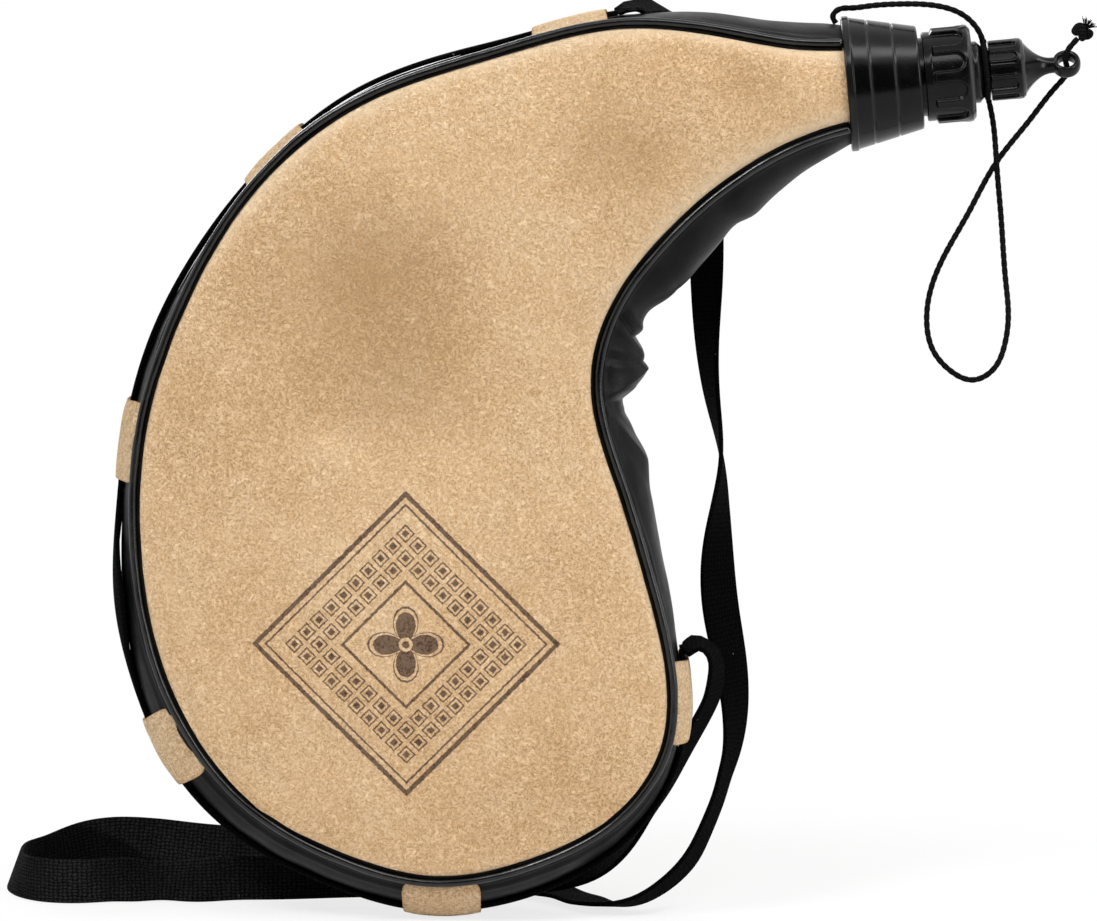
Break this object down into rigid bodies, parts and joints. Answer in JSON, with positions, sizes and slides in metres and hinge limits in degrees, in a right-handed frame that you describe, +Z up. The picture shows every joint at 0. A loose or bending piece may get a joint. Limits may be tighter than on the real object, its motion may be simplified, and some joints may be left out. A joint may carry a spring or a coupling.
{
  "type": "bota bag",
  "caption": "Curved leather wine skin with suede faces, piped gusset, looped webbing shoulder strap, fluted screw cap with a pouring jet, small screw stopper and a braided keeper cord.",
  "frame": {"origin": "on the surface that the bag stands on, under the middle of the bag without its free strap and cord", "axes": "+Z up, +X towards the nozzle, +Y towards the rear face; the picture looks along +Y"},
  "size_m": [0.364, 0.11, 0.3079],
  "materials": {
    "suede": "napped suede",
    "suede_trim": "napped suede",
    "leatherette": "grained, semi-matt",
    "piping": "glossy",
    "webbing": "coarse woven",
    "braid": "braided",
    "black_plastic": "moulded, satin gloss",
    "jet_plastic": "moulded",
    "bladder_latex": "matt",
    "gasket_rubber": "matt",
    "clamp_steel": "satin"
  },
  "bodies": {
    "bag": {"front_panel": "suede", "back_panel": "suede", "gusset": "leatherette", "front_piping": "piping", "back_piping": "piping", "bladder": "bladder_latex", "neck_tube": "black_plastic", "clamp_ring": "clamp_steel", "collar": "black_plastic", "strap_loop_1": "suede_trim", "strap_loop_2": "suede_trim", "strap_loop_3": "suede_trim", "strap_loop_4": "suede_trim", "strap_loop_5": "suede_trim", "strap_loop_6": "suede_trim", "edge_strap": "webbing", "shoulder_strap": "webbing", "keeper_bridge": "braid"},
    "cap_carrier": {"cap_gasket": "gasket_rubber", "keeper_wrap": "braid", "keeper_loop": "braid"},
    "filler_cap": {"filler_cap": "black_plastic", "pouring_jet": "jet_plastic"},
    "stopper_carrier": {"stopper_gasket": "gasket_rubber"},
    "stopper": {"stopper": "black_plastic", "keeper_knot": "braid"}
  },
  "joints": [
    {"name": "cap_lift", "type": "slide", "parent": "bag", "child": "cap_carrier", "axis": [0.9957, 0, 0.0924], "range_m": [0, 0.012], "deforming": ["keeper_bridge", "keeper_loop"]},
    {"name": "cap_turn", "type": "hinge", "parent": "cap_carrier", "child": "filler_cap", "pos_m": [0.08343, 0, 0.27886], "axis": [0.9957, 0, 0.0924], "range_deg": [0, 1080], "deforming": ["keeper_bridge", "keeper_loop"]},
    {"name": "stopper_lift", "type": "slide", "parent": "filler_cap", "child": "stopper_carrier", "axis": [0.9957, 0, 0.0924], "range_m": [0, 0.009], "deforming": ["keeper_loop"]},
    {"name": "stopper_turn", "type": "hinge", "parent": "stopper_carrier", "child": "stopper", "pos_m": [0.08343, 0, 0.27886], "axis": [0.9957, 0, 0.0924], "range_deg": [0, 1080], "deforming": ["keeper_loop"]}
  ],
  "couplings": [
    {"joint": "cap_turn", "follows": "cap_lift", "rad_per_m": 1570.8},
    {"joint": "stopper_turn", "follows": "stopper_lift", "rad_per_m": 2094.4}
  ]
}
